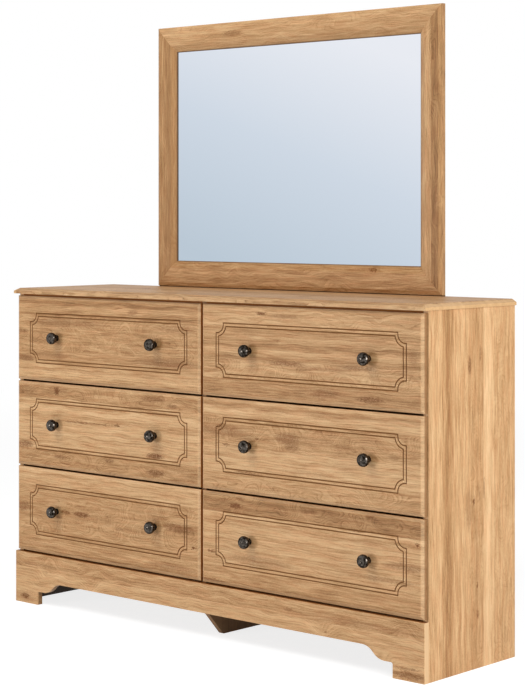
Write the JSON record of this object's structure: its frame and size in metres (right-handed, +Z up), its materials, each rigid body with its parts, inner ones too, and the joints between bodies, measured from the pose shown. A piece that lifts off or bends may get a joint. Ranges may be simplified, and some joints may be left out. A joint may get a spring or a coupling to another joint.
{
  "type": "dresser with mirror",
  "caption": "Low wide chest of drawers in natural oak with round knobs, an arched base and a framed mirror fixed on its top.",
  "frame": {"origin": "on the floor, under the middle of the whole piece", "axes": "+Z up; +X to the right as seen from the front; +Y to the back, so the drawers open towards -Y"},
  "size_m": [1.498, 0.434, 1.684],
  "materials": {
    "oak_foil": "satin natural oak grain",
    "plain_wood": "sawn and sanded, unfinished",
    "hardboard": "smooth pressed board",
    "drawer_box": "sanded and sealed",
    "knob_metal": "antiqued dark pewter",
    "zinc_steel": "zinc plated",
    "mirror_glass": "silvered float glass"
  },
  "bodies": {
    "case": {"back_panel": "hardboard", "base_rail": "oak_foil", "batten_screws": "zinc_steel", "cabinet_runners": "zinc_steel", "case_stretchers": "plain_wood", "centre_partition": "plain_wood", "glue_blocks": "plain_wood", "mirror_backing": "hardboard", "mirror_battens": "plain_wood", "mirror_frame_bottom": "oak_foil", "mirror_frame_left": "oak_foil", "mirror_frame_right": "oak_foil", "mirror_frame_top": "oak_foil", "mirror_glass": "mirror_glass", "side_panel_left": "oak_foil", "side_panel_right": "oak_foil", "top_dowels": "plain_wood", "top_panel": "oak_foil"},
    "drawer_bottom_left": {"drawer_bottom_left_back": "drawer_box", "drawer_bottom_left_base": "hardboard", "drawer_bottom_left_front": "oak_foil", "drawer_bottom_left_knobs": "knob_metal", "drawer_bottom_left_runners": "zinc_steel", "drawer_bottom_left_side_inner": "drawer_box", "drawer_bottom_left_side_outer": "drawer_box"},
    "drawer_bottom_right": {"drawer_bottom_right_back": "drawer_box", "drawer_bottom_right_base": "hardboard", "drawer_bottom_right_front": "oak_foil", "drawer_bottom_right_knobs": "knob_metal", "drawer_bottom_right_runners": "zinc_steel", "drawer_bottom_right_side_inner": "drawer_box", "drawer_bottom_right_side_outer": "drawer_box"},
    "drawer_middle_left": {"drawer_middle_left_back": "drawer_box", "drawer_middle_left_base": "hardboard", "drawer_middle_left_front": "oak_foil", "drawer_middle_left_knobs": "knob_metal", "drawer_middle_left_runners": "zinc_steel", "drawer_middle_left_side_inner": "drawer_box", "drawer_middle_left_side_outer": "drawer_box"},
    "drawer_middle_right": {"drawer_middle_right_back": "drawer_box", "drawer_middle_right_base": "hardboard", "drawer_middle_right_front": "oak_foil", "drawer_middle_right_knobs": "knob_metal", "drawer_middle_right_runners": "zinc_steel", "drawer_middle_right_side_inner": "drawer_box", "drawer_middle_right_side_outer": "drawer_box"},
    "drawer_top_left": {"drawer_top_left_back": "drawer_box", "drawer_top_left_base": "hardboard", "drawer_top_left_front": "oak_foil", "drawer_top_left_knobs": "knob_metal", "drawer_top_left_runners": "zinc_steel", "drawer_top_left_side_inner": "drawer_box", "drawer_top_left_side_outer": "drawer_box"},
    "drawer_top_right": {"drawer_top_right_back": "drawer_box", "drawer_top_right_base": "hardboard", "drawer_top_right_front": "oak_foil", "drawer_top_right_knobs": "knob_metal", "drawer_top_right_runners": "zinc_steel", "drawer_top_right_side_inner": "drawer_box", "drawer_top_right_side_outer": "drawer_box"}
  },
  "joints": [
    {"name": "drawer_bottom_left_slide", "type": "slide", "parent": "case", "child": "drawer_bottom_left", "axis": [0, -1, 0], "range_m": [0, 0.25]},
    {"name": "drawer_bottom_right_slide", "type": "slide", "parent": "case", "child": "drawer_bottom_right", "axis": [0, -1, 0], "range_m": [0, 0.25]},
    {"name": "drawer_middle_left_slide", "type": "slide", "parent": "case", "child": "drawer_middle_left", "axis": [0, -1, 0], "range_m": [0, 0.25]},
    {"name": "drawer_middle_right_slide", "type": "slide", "parent": "case", "child": "drawer_middle_right", "axis": [0, -1, 0], "range_m": [0, 0.25]},
    {"name": "drawer_top_left_slide", "type": "slide", "parent": "case", "child": "drawer_top_left", "axis": [0, -1, 0], "range_m": [0, 0.25]},
    {"name": "drawer_top_right_slide", "type": "slide", "parent": "case", "child": "drawer_top_right", "axis": [0, -1, 0], "range_m": [0, 0.25]}
  ]
}
